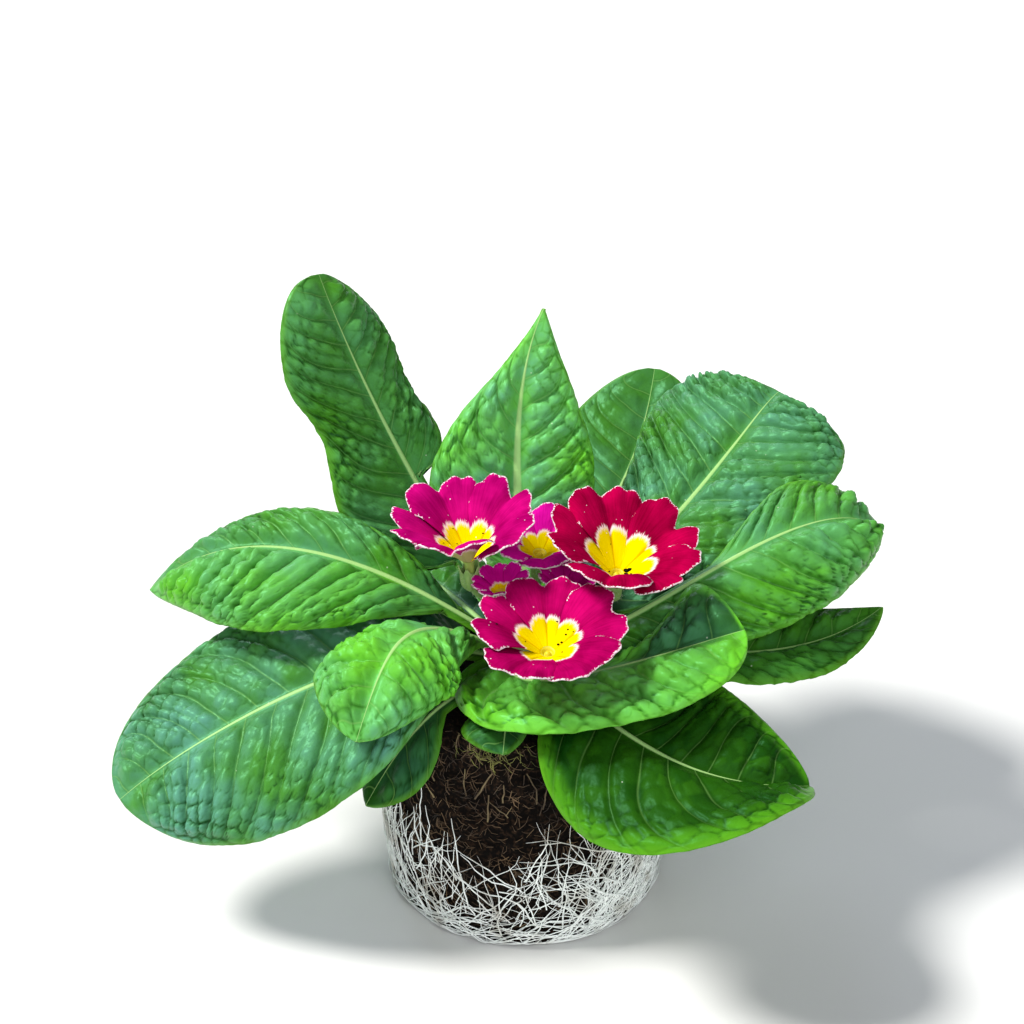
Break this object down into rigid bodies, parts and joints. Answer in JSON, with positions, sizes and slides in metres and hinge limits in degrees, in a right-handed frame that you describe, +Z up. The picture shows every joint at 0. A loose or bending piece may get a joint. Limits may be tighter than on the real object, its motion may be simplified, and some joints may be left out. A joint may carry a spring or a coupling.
{
  "type": "primrose plant with root ball",
  "caption": "Flowering primrose knocked out of its pot: pot-shaped root ball with white roots, a rosette of puckered leaves and crimson flowers with yellow eyes.",
  "frame": {"origin": "centre of the root ball's flat base, where it stands on a surface", "axes": "+Z up along the axis of the root ball; +X to the right and +Y to the back, seen from the side of the lowest front flower"},
  "size_m": [0.2669, 0.2163, 0.2013],
  "materials": {
    "soil": "damp dark peat compost",
    "roots": "white fibrous roots",
    "crown": "fleshy pale green",
    "leaf": "satin puckered leaf",
    "stalk": "downy pale green",
    "crimson_petal": "velvety petal",
    "purple_petal": "velvety petal"
  },
  "bodies": {
    "root": {"root_ball": "soil", "root_net": "roots", "crown": "crown", "leaf_west_low": "leaf", "leaf_west_high": "leaf", "leaf_front_left": "leaf", "leaf_front_left_low": "leaf", "leaf_front_low": "leaf", "leaf_front_right": "leaf", "leaf_front_right_low": "leaf", "leaf_east_high": "leaf", "leaf_east_low": "leaf", "leaf_north_east": "leaf", "leaf_north_behind": "leaf", "leaf_north": "leaf", "leaf_north_west": "leaf", "leaf_back_right_low": "leaf", "leaf_back_low": "leaf", "leaf_back_left_low": "leaf", "stalk_west": "stalk", "corolla_west": "crimson_petal", "stalk_east": "stalk", "corolla_east": "crimson_petal", "stalk_front": "stalk", "corolla_front": "crimson_petal", "stalk_middle": "stalk", "corolla_middle": "purple_petal", "stalk_inner_west": "stalk", "corolla_inner_west": "purple_petal", "stalk_inner_east": "stalk", "corolla_inner_east": "purple_petal"}
  },
  "joints": []
}
